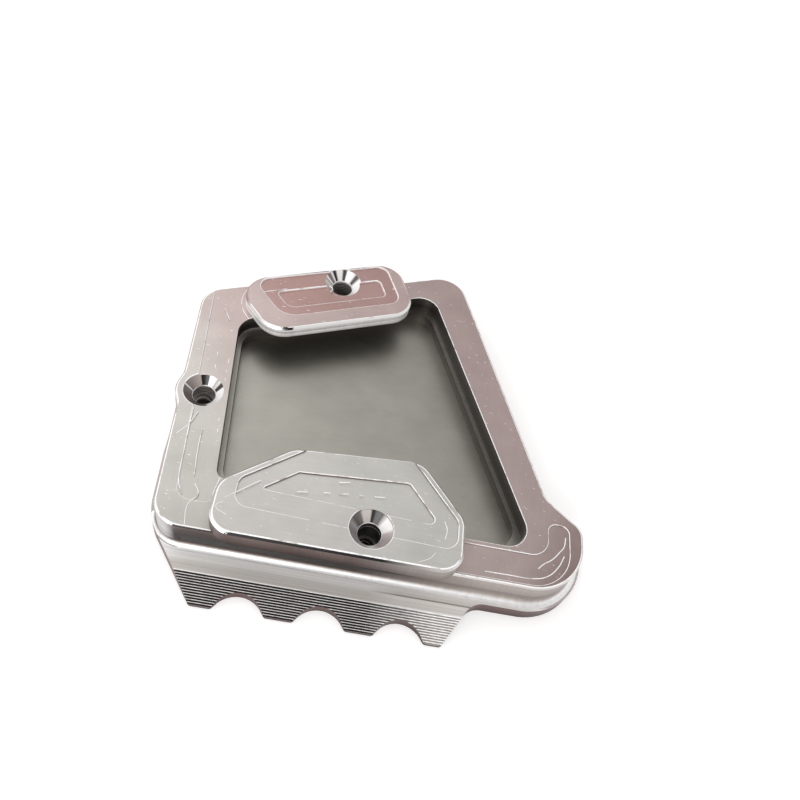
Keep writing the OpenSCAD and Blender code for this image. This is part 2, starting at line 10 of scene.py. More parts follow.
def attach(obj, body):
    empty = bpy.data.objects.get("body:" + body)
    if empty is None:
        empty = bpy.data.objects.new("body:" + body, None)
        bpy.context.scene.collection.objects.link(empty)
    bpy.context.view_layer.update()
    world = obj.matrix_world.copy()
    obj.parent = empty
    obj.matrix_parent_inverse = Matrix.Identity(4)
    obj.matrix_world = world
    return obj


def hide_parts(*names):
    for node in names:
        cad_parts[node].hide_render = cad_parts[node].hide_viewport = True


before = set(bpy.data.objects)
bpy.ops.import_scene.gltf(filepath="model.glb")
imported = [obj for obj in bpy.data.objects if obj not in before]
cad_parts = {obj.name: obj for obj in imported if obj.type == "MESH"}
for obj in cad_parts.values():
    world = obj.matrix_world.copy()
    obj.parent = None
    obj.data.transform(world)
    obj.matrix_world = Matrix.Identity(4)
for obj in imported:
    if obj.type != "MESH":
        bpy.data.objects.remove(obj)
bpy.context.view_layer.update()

MM = 0.001
# where the part's middle lies in the plan that its cutter marks are drawn in, in millimetres
MIDDLE = Vector((-2.897, -5.267, 0.0))

# heights of the flat faces over the ground and depths of the recesses, in millimetres
LEDGE_Z = 3.9
SEAT_Z = 4.2
BASE_Z = 7.2
RIM_Z = BASE_Z + 5.0
FAR_Z = RIM_Z + 3.2
NEAR_Z = RIM_Z + 4.9
ARM_RECESS = 0.3
CLAMP_STEP = 0.5

# the screw holes, and the widths of their head cones, clearance bores and thread cores
HOLES = {
    "boss": Vector((-45.103, -3.133, 0.0)),
    "near": Vector((-0.403, -34.233, 0.0)),
    "far": Vector((-17.173, 39.420, 0.0)),
}
HEAD_D = 10.0
CLEAR_D = 5.5
CORE_D = 4.2
CONE_LAND = 0.1
CONE_DEPTH = (HEAD_D - CLEAR_D) / 2
# where each head cone runs into its bore
CONE_FOOT = {
    "boss": RIM_Z - CONE_DEPTH,
    "near": NEAR_Z - 2 * CLAMP_STEP - CONE_LAND - CONE_DEPTH,
    "far": FAR_Z - CLAMP_STEP - CONE_LAND - CONE_DEPTH,
}

OPENING_MIDDLE = Vector((-7.0, 3.0, 0.0))
# the toe slopes down from SLOPE_Y to TIP_Y in twelve ridges
SLOPE_Y = -51.1 - MIDDLE.y
TIP_Y = -57.3 - MIDDLE.y
RIDGE = (SLOPE_Y - TIP_Y) / 12

# ways that tones run: up the walls, along the toothed edge and towards it, over the plate to its far right
# corner, and out to the lobe
UP = (0.0, 0.0, 1.0)
TO_RIGHT = (1.0, 0.0, 0.0)
TO_NEAR = (0.0, -1.0, 0.0)
SKEW = (0.72, 0.55, 0.0)
TO_LOBE = (0.9, -0.43, 0.0)
# the far clamp is turned by this many degrees, and its straight near side faces this way
FAR_TURN = 24.5
FAR_NEAR = (math.sin(math.radians(FAR_TURN)), -math.cos(math.radians(FAR_TURN)), 0.0)
# the near left corners face this way, towards the brightest light; walls facing this way get a painted glint
TO_PAINTED_GLINT = (-0.62, -0.78, 0.0)


def linear(code):
    """An sRGB hex colour as a linear one."""
    parts = [int(code[i:i + 2], 16) / 255 for i in (1, 3, 5)]
    return tuple(c / 12.92 if c <= 0.04045 else ((c + 0.055) / 1.055) ** 2.4 for c in parts) + (1.0,)


def add(tree, kind, values=(), links=(), stops=(), **settings):
    """A node with its settings, socket values and incoming links, and the (place, colour) stops of a ramp."""
    node = tree.nodes.new(kind)
    for name, value in settings.items():
        setattr(node, name, value)
    for socket, value in dict(values).items():
        node.inputs[socket].default_value = value
    for socket, source in dict(links).items():
        tree.links.new(source, node.inputs[socket])
    for number, (place, code) in enumerate(stops):
        elements = node.color_ramp.elements
        element = elements[number] if number < 2 else elements.new(place)
        element.position = place
        element.color = linear(code)
    return node


def blank(name, metallic=1.0, roughness=0.4):
    """A new material with only a metal shader in it.

    Where light and shade are painted on, the metal is kept low, so that they show as written under any light.
    """
    mat = bpy.data.materials.new(name)
    mat.use_nodes = True
    tree = mat.node_tree
    shader = tree.nodes["Principled BSDF"]
    shader.inputs["Metallic"].default_value = metallic
    shader.inputs["Roughness"].default_value = roughness
    return mat, tree, shader


def along(tree, direction, low, high, wobble=0.0):
    """0 to 1 along a direction between two distances, with a soft wobble, all in millimetres."""
    patch = 16.667
    place = add(tree, "ShaderNodeTexCoord").outputs["Object"]
    dot = add(tree, "ShaderNodeVectorMath", {1: direction}, {0: place}, operation="DOT_PRODUCT")
    value = dot.outputs["Value"]
    if wobble:
        soft = {"Scale": 1.0 / (patch * MM), "Detail": 2.0}
        noise = add(tree, "ShaderNodeTexNoise", soft, {"Vector": place})
        shift = add(tree, "ShaderNodeMath", {1: wobble * MM}, {0: noise.outputs["Fac"]}, operation="MULTIPLY")
        value = add(tree, "ShaderNodeMath", links={0: value, 1: shift.outputs[0]}, operation="ADD").outputs[0]
    reach = add(tree, "ShaderNodeMapRange", {"From Min": low * MM, "From Max": high * MM}, {"Value": value})
    return reach.outputs["Result"]


def streaks(tree, size, detail=3.0, turned=0.0):
    """Noise drawn out by size, the millimetres that a streak covers along X, Y and Z."""
    place = add(tree, "ShaderNodeTexCoord").outputs["Object"]
    scale = tuple(1.0 / (s * MM) for s in size)
    spot = add(tree, "ShaderNodeMapping", {"Rotation": (0, 0, math.radians(turned))}, {"Vector": place})
    wide = add(tree, "ShaderNodeVectorMath", {1: scale}, {0: spot.outputs[0]}, operation="MULTIPLY")
    noise = add(tree, "ShaderNodeTexNoise", {"Scale": 1.0, "Detail": detail}, {"Vector": wide.outputs[0]})
    return noise.outputs["Fac"]


def over(tree, tone, source, stops, share):
    """A tone that goes over, as share goes from 0 to 1, into the one that source has through its stops."""
    other = add(tree, "ShaderNodeValToRGB", links={"Fac": source}, stops=stops)
    mix = add(tree, "ShaderNodeMix", links={0: share, 6: tone, 7: other.outputs["Color"]}, data_type="RGBA")
    return mix.outputs[2]


def shade(tree, colour, pattern, dark, light):
    """Colour multiplied by a grey that runs from dark to light with the pattern."""
    ends = {"From Min": 0.25, "From Max": 0.75, "To Min": dark, "To Max": light}
    grey = add(tree, "ShaderNodeMapRange", ends, {"Value": pattern}).outputs["Result"]
    return add(tree, "ShaderNodeVectorMath", links={0: colour, 1: grey}, operation="MULTIPLY").outputs[0]


def finish_metal(tree, shader, colour, pattern, smooth, rough, strength):
    """Puts a colour on the shader, and lets a pattern move its roughness and its bump of up to 0.02 mm."""
    tree.links.new(colour, shader.inputs["Base Color"])
    spread = add(tree, "ShaderNodeMapRange", {"To Min": smooth, "To Max": rough}, {"Value": pattern})
    tree.links.new(spread.outputs["Result"], shader.inputs["Roughness"])
    bump = add(tree, "ShaderNodeBump", {"Strength": strength, "Distance": 0.02 * MM}, {"Height": pattern})
    tree.links.new(bump.outputs["Normal"], shader.inputs["Normal"])


# Bare aluminium, face milled: a satin plane with a painted reflection, pale grey towards the near left and
# faintly mauve towards the far right, and on the rim a darker painted shade out on the lobe, with faint
# drawn-out marks and a few short bright nicks where the cutter went by. A real mark is a few hundredths of
# a millimetre wide, too fine to show, so the marks are drawn some ten times as wide.
def face_milled(name, low, high, stops, size, turned=0.0, nicked=(0.73, 0.78), lobe=()):
    mat, tree, shader = blank(name)
    place = along(tree, SKEW, low, high, 14.0)
    tone = add(tree, "ShaderNodeValToRGB", links={"Fac": place}, stops=stops).outputs["Color"]
    if lobe:
        tone = over(tree, tone, streaks(tree, (5.0, 5.0, 5.0)), lobe, along(tree, TO_LOBE, 46.0, 61.0))
    fine = streaks(tree, size, turned=turned)
    broad = streaks(tree, (9.0, 7.0, 5.0), 2.0)
    colour = shade(tree, shade(tree, tone, fine, 0.97, 1.03), broad, 0.93, 1.06)
    nicks = add(tree, "ShaderNodeValToRGB", links={"Fac": streaks(tree, (1.6, 0.3, 1.0), 1.0, turned + 15.0)},
                stops=[(nicked[0], "#000000"), (nicked[1], "#FFFFFF")])
    colour = over(tree, colour, fine, [(0.0, "#F4F2EF"), (1.0, "#FFFFFF")], nicks.outputs["Color"])
    finish_metal(tree, shader, colour, fine, 0.36, 0.44, 0.10)
    return mat


# Bare aluminium, side milled: faint upright marks from the end mill, in tones of painted light and shade that
# run up the wall, with dark bands of painted shade where the plates meet and under the clamps and white
# bands of painted highlight, and go over from those of the left end to those of the right end. A painted
# glint whitens the corners that face the lamp. The painted light and shade is kept to the walls that face the
# toothed edge, and the walls that face away from it are evenly grey. The marks are drawn wider than real
# ones, to show.
def side_milled(name, low, high, left, right, reach, upright=0.5, metallic=0.7, painted_glint=None):
    mat, tree, shader = blank(name, metallic)
    height = along(tree, UP, low, high)
    tone = add(tree, "ShaderNodeValToRGB", links={"Fac": height}, stops=left).outputs["Color"]
    tone = over(tree, tone, height, right, along(tree, TO_RIGHT, *reach))
    normal = add(tree, "ShaderNodeTexCoord").outputs["Normal"]
    # a painted highlight: where a wall faces the brightest light, its tone is mixed towards white
    if painted_glint:
        facing = add(tree, "ShaderNodeVectorMath", {1: TO_PAINTED_GLINT}, {0: normal}, operation="DOT_PRODUCT")
        corner = add(tree, "ShaderNodeValToRGB", links={"Fac": facing.outputs["Value"]},
                     stops=[(0.87, "#000000"), (0.98, painted_glint)])
        tone = over(tree, tone, height, [(0.0, "#FFFFFF"), (1.0, "#E4DFDC")], corner.outputs["Color"])
    sides = add(tree, "ShaderNodeSeparateXYZ", links={0: normal})
    away = add(tree, "ShaderNodeMapRange", {"From Min": 0.15, "From Max": 0.30},
               {"Value": sides.outputs["Y"]})
    evened = add(tree, "ShaderNodeMix", {7: linear("#BDB5B1")}, {0: away.outputs["Result"], 6: tone},
                 data_type="RGBA")
    marks = streaks(tree, (upright, upright, 9.0))
    lines = streaks(tree, (30.0, 30.0, 0.3))
    colour = shade(tree, shade(tree, evened.outputs[2], marks, 0.90, 1.10), lines, 0.88, 1.12)
    finish_metal(tree, shader, colour, marks, 0.34, 0.46, 0.12)
    return mat


# Bare aluminium, milled with a round-nosed cutter: a ledge painted bright as light falls on it, with long
# white and grey streaks, white bands of painted highlight along its edges, and towards the right a thin
# darker line.
def ball_milled(name, back, front):
    mat, tree, shader = blank(name, 0.2)
    across = along(tree, TO_NEAR, back, front)
    left = add(tree, "ShaderNodeValToRGB", links={"Fac": across}, stops=[
        (0.00, "#C9C2BD"), (0.16, "#FFFFFF"), (0.50, "#F6F4F1"), (0.66, "#DAD6D0"), (0.93, "#D2CDC7"),
        (0.97, "#FFFFFF")])
    tone = over(tree, left.outputs["Color"], across, [
        (0.00, "#C9C2BD"), (0.20, "#FFFFFF"), (0.36, "#E9E5E1"), (0.50, "#DAD6D0"), (0.55, "#7D7773"),
        (0.58, "#F4F1ED"), (0.66, "#F1EDE9"), (0.90, "#DCD8D2"), (0.96, "#FFFFFF")],
        along(tree, TO_RIGHT, 2.0, 9.0))
    fine = streaks(tree, (60.0, 0.25, 4.0), 4.0)
    finish_metal(tree, shader, shade(tree, tone, fine, 0.80, 1.12), fine, 0.40, 0.52, 0.15)
    return mat


# Bare aluminium, milled in ridges: a white line of painted highlight on each crest and painted shade in each
# root, painted lighter and silvery towards the right end.
def ridge_milled(name):
    mat, tree, shader = blank(name, 0.35, 0.42)
    place = add(tree, "ShaderNodeTexCoord").outputs["Object"]
    per_ridge = (0.0, -1.0 / (RIDGE * MM), 0.0)
    count = add(tree, "ShaderNodeVectorMath", {1: per_ridge}, {0: place}, operation="DOT_PRODUCT")
    count = add(tree, "ShaderNodeMath", {1: SLOPE_Y / RIDGE}, {0: count.outputs["Value"]}, operation="ADD")
    phase = add(tree, "ShaderNodeMath", links={0: count.outputs[0]}, operation="FRACT").outputs[0]
    dark = add(tree, "ShaderNodeValToRGB", links={"Fac": phase}, stops=[
        (0.0, "#FFFFFF"), (0.08, "#F1EFED"), (0.14, "#2E2725"), (0.48, "#120D0C"), (0.66, "#38302E"),
        (1.0, "#F4F2F0")])
    tone = over(tree, dark.outputs["Color"], phase, [
        (0.0, "#FFFFFF"), (0.16, "#FFFFFF"), (0.26, "#D0CAC6"), (0.48, "#8F8884"), (0.60, "#C9C3BF"),
        (1.0, "#FFFFFF")], along(tree, TO_RIGHT, 6.0, 24.0, 8.0))
    colour = shade(tree, tone, streaks(tree, (1.2, 0.5, 0.5), 2.0), 0.76, 1.24)
    tree.links.new(colour, shader.inputs["Base Color"])
    return mat


# Bare aluminium, turned by the countersink: painted reflections, hard white and dark rays, run down the cone.
# The stops go round from the left side by way of the near side.
def turned_cone(name, middle, stops):
    mat, tree, shader = blank(name, 0.12, 0.24)
    place = add(tree, "ShaderNodeTexCoord").outputs["Object"]
    out = add(tree, "ShaderNodeVectorMath", {1: tuple(middle * MM)}, {0: place}, operation="SUBTRACT")
    part = add(tree, "ShaderNodeSeparateXYZ", links={0: out.outputs[0]})
    angle = add(tree, "ShaderNodeMath", links={0: part.outputs["Y"], 1: part.outputs["X"]},
                operation="ARCTAN2")
    turn = add(tree, "ShaderNodeMapRange", {"From Min": -math.pi, "From Max": math.pi},
               {"Value": angle.outputs[0]})
    tone = add(tree, "ShaderNodeValToRGB", links={"Fac": turn.outputs["Result"]}, stops=stops)
    tree.links.new(tone.outputs["Color"], shader.inputs["Base Color"])
    return mat


# Bare aluminium down a bore: rings where the drill and the tap went down, painted near black as the shade in
# the bore, with bright turns as painted highlights.
def bored(name, dark, light):
    ring, wander = 0.628, 8.333
    mat, tree, shader = blank(name, 0.2, 0.35)
    place = add(tree, "ShaderNodeTexCoord").outputs["Object"]
    # the wave texture has one band to every twentieth of a full turn of its coordinate
    scale = (1.0 / (wander * MM), 1.0 / (wander * MM), math.tau / 20 / (ring * MM))
    wide = add(tree, "ShaderNodeVectorMath", {1: scale}, {0: place}, operation="MULTIPLY")
    rings = add(tree, "ShaderNodeTexWave", {"Scale": 1.0, "Distortion": 1.2, "Detail": 1.0},
                {"Vector": wide.outputs[0]}, bands_direction="Z")
    tone = add(tree, "ShaderNodeValToRGB", links={"Fac": rings.outputs["Fac"]},
               stops=[(0.25, dark), (0.75, dark), (0.95, light)])
    tree.links.new(tone.outputs["Color"], shader.inputs["Base Color"])
    return mat


# Bare aluminium where a cutter broke the edge: a narrow burnished line, painted white as a highlight that
# shows under any light, with a few greyer stretches.
def burnished_with_painted_highlight(name):
    mat, tree, shader = blank(name, 0.0, 0.45)
    tone = add(tree, "ShaderNodeValToRGB", links={"Fac": streaks(tree, (3.0, 3.0, 3.0), 2.0)},
               stops=[(0.30, "#BDB3AF"), (0.45, "#FFFFFF")])
    tree.links.new(tone.outputs["Color"], shader.inputs["Base Color"])
    return mat


# Bare aluminium, chamfered, with painted reflections: nearly black where it faces straight to the near side,
# white at the round corners and grey behind them. From low to high along the edge the near black gives way
# to another tone.
def chamfered(name, direction, straight, low, high, beyond, grey):
    mat, tree, shader = blank(name, 0.5, 0.35)
    normal = add(tree, "ShaderNodeNewGeometry").outputs["True Normal"]
    facing = add(tree, "ShaderNodeVectorMath", {1: direction}, {0: normal}, operation="DOT_PRODUCT")
    tone = add(tree, "ShaderNodeValToRGB", links={"Fac": facing.outputs["Value"]}, stops=[
        (0.0, grey), (0.40, "#FFFFFF"), (0.67, "#FFFFFF"), (0.695, straight)])
    colour = over(tree, tone.outputs["Color"], facing.outputs["Value"],
                  [(0.0, grey), (0.40, "#F4F2F0"), (1.0, beyond)], along(tree, TO_RIGHT, low, high))
    tree.links.new(colour, shader.inputs["Base Color"])
    return mat


# The tones below carry painted light and shade: painted reflections on the tops and chamfers, dark bands of
# painted shade on the walls where the plates meet, under the clamps and down the pocket and the toe, and
# white bands of painted highlight on the walls and round the countersinks.
MATERIALS = {
    "rim top": face_milled("face_milled_rim", -45.0, 45.0, [
        (0.0, "#C3C1BB"), (0.2, "#C3BEB9"), (0.38, "#C2B1AD"), (0.6, "#B9A9A5"), (0.85, "#B5A3A0"),
        (1.0, "#B39F9C")],
        (0.4, 9.0, 2.0), -4.0, lobe=[(0.3, "#86726E"), (0.7, "#97847F")]),
    "near top": face_milled("face_milled_near_clamp", -50.0, 20.0, [
        (0.0, "#CFCBC7"), (0.6, "#CFCDC8"), (1.0, "#C6C5BE")], (6.0, 0.5, 2.0)),
    "far top": face_milled("face_milled_far_clamp", -30.0, 40.0, [
        (0.0, "#C6B8B5"), (0.5, "#C2B0AC"), (1.0, "#BDA6A3")], (6.0, 0.5, 2.0), -FAR_TURN),
    "far recess": face_milled("face_milled_far_recess", -30.0, 40.0, [
        (0.0, "#B99F9C"), (0.5, "#B5958F"), (1.0, "#B29491")], (5.0, 0.6, 2.0), -FAR_TURN),
    "floor": face_milled("face_milled_pocket_floor", -50.0, 40.0, [
        (0.0, "#B9B7AF"), (0.5, "#ABA9A0"), (1.0, "#A09C95")], (4.0, 0.8, 2.0), nicked=(0.9, 0.95)),
    "ground": face_milled("face_milled_ground_face", -50.0, 50.0, [
        (0.0, "#C4BFBA"), (1.0, "#B9B2AD")], (8.0, 0.5, 2.0)),
    "rim wall": side_milled("side_milled_rim", BASE_Z, RIM_Z, [
        (0.0, "#140C0B"), (0.2, "#1D1412"), (0.42, "#3A2D2A"), (0.75, "#54463F"), (1.0, "#766864")], [
        (0.0, "#8A807C"), (0.2, "#A39A96"), (1.0, "#AEA4A0")], (6.0, 20.0), painted_glint="#C8C8C8"),
    "near wall": side_milled("side_milled_near_clamp", RIM_Z, NEAR_Z, [
        (0.0, "#3F302D"), (0.3, "#63524F"), (1.0, "#80706C")], [
        (0.0, "#8A827E"), (0.5, "#A59F9B"), (1.0, "#B8B2AE")], (-4.0, 14.0)),
    "far wall": side_milled("side_milled_far_clamp", RIM_Z, FAR_Z, [
        (0.0, "#C9C6C4"), (0.3, "#FFFFFF"), (0.5, "#CDCAC8"), (0.7, "#FFFFFF"), (1.0, "#FFFFFF")], [
        (0.0, "#C9C6C4"), (0.4, "#FFFFFF"), (0.6, "#DDDAD8"), (1.0, "#FFFFFF")], (-20.0, 10.0),
        upright=1.2, metallic=0.25),
    "base wall": side_milled("side_milled_base", LEDGE_Z, BASE_Z, [
        (0.0, "#FFFFFF"), (0.14, "#FFFFFF"), (0.24, "#B9B1AC"), (0.34, "#5F5450"), (0.5, "#2B201E"),
        (0.8, "#170E0C"), (1.0, "#120A09")], [
        (0.0, "#FFFFFF"), (0.14, "#FFFFFF"), (0.3, "#BDB5B1"), (0.6, "#A0968F"), (1.0, "#8E8380")],
        (-2.0, 24.0), upright=0.9, painted_glint="#C8C8C8"),
    "toe wall": side_milled("side_milled_toe", 0.0, LEDGE_Z, [
        (0.0, "#4A322F"), (1.0, "#7A5B57")], [(0.0, "#3F2C29"), (1.0, "#6A5350")], (-40.0, 20.0)),
    "pocket wall": side_milled("side_milled_opening", SEAT_Z, RIM_Z, [
        (0.0, "#4B4744"), (0.35, "#57524F"), (0.42, "#DAD8D5"), (0.48, "#2A2725"), (0.7, "#1D1B1A"),
        (0.9, "#5A5451"), (1.0, "#8A827E")], [
        (0.0, "#5A5450"), (0.4, "#3E3935"), (0.6, "#262220"), (1.0, "#4D4744")], (-44.0, -30.0),
        upright=1.1, metallic=0.5),
    "near chamfer": chamfered("chamfered_near_clamp", TO_NEAR, "#100C0B", 3.0, 16.0, "#938C88", "#B5AEAA"),
    "rim chamfer": chamfered("chamfered_rim", TO_NEAR, "#171312", 6.0, 10.0, "#D2CCC8", "#A7908C"),
    "far chamfer": chamfered("chamfered_far_clamp", FAR_NEAR, "#171312", -27.8, -27.2, "#FFFFFF", "#A7908C"),
    "ledge": ball_milled("ball_milled_ledge", 39.6, 46.0),
    "ridges": ridge_milled("ridge_milled_toe"),
    "boss bore": bored("drilled_boss_bore", "#3A3431", "#D9D4D0"),
    "near bore": bored("drilled_near_bore", "#1D1917", "#57504C"),
    "far bore": bored("drilled_far_bore", "#4A4441", "#D2CDC9"),
    "thread": bored("tapped_thread", "#5A5450", "#F4F2F0"),
    "edge": burnished_with_painted_highlight("broken_edge_painted_highlight"),
    "mark": burnished_with_painted_highlight("cutter_mark_painted_highlight"),
    "boss cone": turned_cone("turned_countersink_boss", HOLES["boss"], [
        (0.0, "#6B605C"), (0.167, "#5E5552"), (0.24, "#57504D"), (0.300, "#6A625F"), (0.330, "#FFFFFF"),
        (0.561, "#FFFFFF"), (0.578, "#3A3431"), (0.611, "#4A4340"), (0.628, "#F3F1EF"), (0.661, "#B9B3AF"),
        (0.672, "#FFFFFF"), (0.728, "#FFFFFF"), (0.742, "#0C0807"), (0.811, "#120D0B"), (0.817, "#B5ACA7"),
        (0.917, "#8C827D"), (0.961, "#7A706C"), (0.971, "#FFFFFF"), (0.984, "#7A706C"), (1.0, "#6B605C")]),
    "near cone": turned_cone("turned_countersink_near", HOLES["near"], [
        (0.0, "#8E8986"), (0.125, "#9D9896"), (0.22, "#B9B3B0"), (0.28, "#EAE6E3"), (0.35, "#B3A8A6"),
        (0.445, "#AA9F9D"), (0.514, "#C5BBB8"), (0.54, "#F9F6F4"), (0.625, "#FFFFFF"), (0.66, "#8F8784"),
        (0.672, "#120C0A"), (0.755, "#0C0807"), (0.77, "#CFC9C5"), (0.833, "#D4CECA"), (0.855, "#77706D"),
        (0.917, "#5A5452"), (0.958, "#9F9A97"), (1.0, "#8E8986")]),
    "far cone": turned_cone("turned_countersink_far", HOLES["far"], [
        (0.0, "#D9D6D4"), (0.167, "#8F8886"), (0.278, "#E4E2E0"), (0.347, "#F7F6F5"), (0.578, "#FFFFFF"),
        (0.611, "#5A5350"), (0.639, "#6A6360"), (0.661, "#FFFFFF"), (0.728, "#FFFFFF"), (0.744, "#3A3432"),
        (0.769, "#4A4441"), (0.786, "#F4F2F1"), (0.833, "#F4F2F1"), (0.85, "#1E1918"), (0.872, "#241F1D"),
        (0.889, "#FFFFFF"), (0.906, "#857D7A"), (0.939, "#6E6663"), (0.956, "#FFFFFF"), (0.978, "#9A9390"),
        (1.0, "#D9D6D4")]),
}


def nearest_hole(middle):
    """The screw hole nearest to a point in millimetres, and how far off its axis the point is."""
    return min(((n, (middle.xy - h.xy).length) for n, h in HOLES.items()), key=lambda pair: pair[1])


def base_finish(middle, normal):
    """The finish of a face of the base plate, from its middle and its normal."""
    hole, reach = nearest_hole(middle)
    upright = abs(normal.z) < 0.2
    inside = normal.xy.dot(OPENING_MIDDLE.xy - middle.xy) > 0
    if upright and reach < CORE_D / 2 + 0.3:
        return f"{hole} bore"
    if normal.z < -0.9:
        return "ground"
    if upright and middle.z > SEAT_Z - 0.1 and inside:
        return "pocket wall"
    if middle.z > LEDGE_Z + 0.1 and normal.z > 0.9:
        return "floor"
    if middle.y < SLOPE_Y + 0.01 and normal.z > 0.2 and middle.z < LEDGE_Z - 0.01:
        return "ridges"
    if normal.z < 0.99 and middle.z > LEDGE_Z + 0.01:
        return "base wall"
    return "toe wall" if upright else "ledge"


def rim_finish(middle, normal):
    """The finish of a face of the rim plate."""
    hole, reach = nearest_hole(middle)
    inside = normal.xy.dot(OPENING_MIDDLE.xy - middle.xy) > 0
    if abs(normal.z) > 0.9:
        return "rim top" if normal.z > 0 else "ground"
    if reach < CLEAR_D / 2 + 0.05:
        return f"{hole} bore"
    if normal.z > 0.2:
        return f"{hole} cone" if reach < HEAD_D / 2 + 0.05 else "rim chamfer"
    return "pocket wall" if inside and middle.z < RIM_Z - ARM_RECESS else "rim wall"


def clamp_finish(side, deep, level):
    """The finish of a clamp's faces, given the clamp's side, the finish of its recess and its height."""
    def pick(middle, normal):
        hole, reach = nearest_hole(middle)
        if normal.z < -0.9:
            return "ground"
        if reach < CLEAR_D / 2 + 0.05 and abs(normal.z) < 0.2:
            return f"{hole} bore"
        if normal.z > 0.9:
            return deep if middle.z < level - 0.1 else f"{side} top"
        if normal.z > 0.2:
            return f"{hole} cone" if reach < HEAD_D / 2 + 0.05 else f"{side} chamfer"
        return f"{side} wall"
    return pick


def dressed(node, name, pick, edge_levels):
    """A merged copy of a CAD node: a finish on each face, and broken edges with a painted white highlight
    at (height, width) pairs.
    """
    doubles = 0.002 * MM
    flat, sharp, smooth = math.radians(0.4), math.radians(30), math.radians(24)
    bm = bmesh.new()
    bm.from_mesh(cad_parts[node].data)
    bmesh.ops.remove_doubles(bm, verts=bm.verts, dist=doubles)
    bmesh.ops.dissolve_degenerate(bm, edges=bm.edges, dist=doubles)
    bmesh.ops.dissolve_limit(bm, angle_limit=flat, verts=bm.verts, edges=bm.edges)
    bm.normal_update()
    keys = ["edge"]
    for face in bm.faces:
        key = pick(face.calc_center_median() / MM, face.normal)
        if key not in keys:
            keys.append(key)
        face.material_index = keys.index(key)
    for level, width in edge_levels:
        chosen = []
        for edge in bm.edges:
            if len(edge.link_faces) != 2 or edge.calc_face_angle(0) < sharp or not edge.is_convex:
                continue
            level_with = all(abs(v.co.z / MM - level) < 0.02 for v in edge.verts)
            # a wall has to be tall enough for the broken edge
            heights = [max(v.co.z for v in f.verts) - min(v.co.z for v in f.verts) for f in edge.link_faces]
            roomy = all(h < 0.01 * MM or h > 1.5 * width * MM for h in heights)
            if level_with and roomy and not any(f.normal.z < -0.5 for f in edge.link_faces):
                chosen.append(edge)
        bmesh.ops.bevel(bm, geom=chosen, offset=width * MM, offset_type="OFFSET", segments=2, profile=0.5,
                        affect="EDGES", clamp_overlap=False, material=keys.index("edge"))
    for face in bm.faces:
        face.smooth = True
    for edge in bm.edges:
        edge.smooth = len(edge.link_faces) == 2 and edge.calc_face_angle(0) < smooth
    mesh = bpy.data.meshes.new(name)
    bm.to_mesh(mesh)
    bm.free()
    for key in keys:
        mesh.materials.append(MATERIALS[key])
    piece = bpy.data.objects.new(name, mesh)
    bpy.context.scene.collection.objects.link(piece)
    weighted = piece.modifiers.new("even_normals", "WEIGHTED_NORMAL")
    weighted.keep_sharp = True
    weighted.weight = 90
    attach(piece, "root")
    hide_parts(node)


dressed("base_plate", "base_plate_milled", base_finish, ())
dressed("rim_plate", "rim_plate_milled", rim_finish, ((RIM_Z, 0.16), (CONE_FOOT["boss"], 0.16)))
dressed("far_clamp", "far_clamp_milled", clamp_finish("far", "far recess", FAR_Z),
        ((FAR_Z, 0.2), (FAR_Z - CLAMP_STEP, 0.2), (CONE_FOOT["far"], 0.16)))
dressed("near_clamp", "near_clamp_milled", clamp_finish("near", "near top", NEAR_Z),
        ((NEAR_Z, 0.18), (NEAR_Z - CLAMP_STEP, 0.18), (CONE_FOOT["near"], 0.16)))


def thread(name, middle, top, turns):
    """Crests of an M5 thread, pitch 0.8 mm, standing out of a bore's wall down from a height."""
    pitch, root, crest, half, steps = 0.8, CORE_D / 2 + 0.02, 1.86, 0.3, 32
    bm = bmesh.new()
    corners = [bm.verts.new(Vector((r, 0.0, z)) * MM) for r, z in ((root, half), (root, -half), (crest, 0.0))]
    face = bm.faces.new(corners)
    bmesh.ops.spin(bm, geom=[face] + list(face.edges) + list(face.verts), cent=(0, 0, 0), axis=(0, 0, 1),
                   dvec=(0, 0, -pitch * MM / steps), angle=math.tau * turns, steps=steps * turns)
    bmesh.ops.translate(bm, verts=bm.verts, vec=(middle + Vector((0, 0, top))) * MM)
    bmesh.ops.recalc_face_normals(bm, faces=bm.faces)
    for face in bm.faces:
        face.smooth = False
    mesh = bpy.data.meshes.new(name)
    bm.to_mesh(mesh)
    bm.free()
    mesh.materials.append(MATERIALS["thread"])
    piece = bpy.data.objects.new(name, mesh)
    bpy.context.scene.collection.objects.link(piece)
    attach(piece, "root")


for key, hole in HOLES.items():
    thread(f"{key}_thread", hole, BASE_Z - 0.35, 7)


def cutter_marks(name, height, width, lines):
    """Fine raised burrs left by the cutter on a flat face, painted white as highlights, each through a few
    points of the plan.
    """
    curve = bpy.data.curves.new(name, "CURVE")
    curve.dimensions = "3D"
    curve.bevel_depth = width / 2 * MM
    curve.bevel_resolution = 1
    curve.resolution_u = 6
    curve.use_fill_caps = True
    for points in lines:
        spline = curve.splines.new("BEZIER")
        spline.bezier_points.add(len(points) - 1)
        for knot, (x, y) in zip(spline.bezier_points, points):
            knot.co = (Vector((x, y, height)) - MIDDLE) * MM
            knot.handle_left_type = knot.handle_right_type = "AUTO"
    curve.materials.append(MATERIALS["mark"])
    piece = bpy.data.objects.new(name, curve)
    bpy.context.scene.collection.objects.link(piece)
    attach(piece, "root")


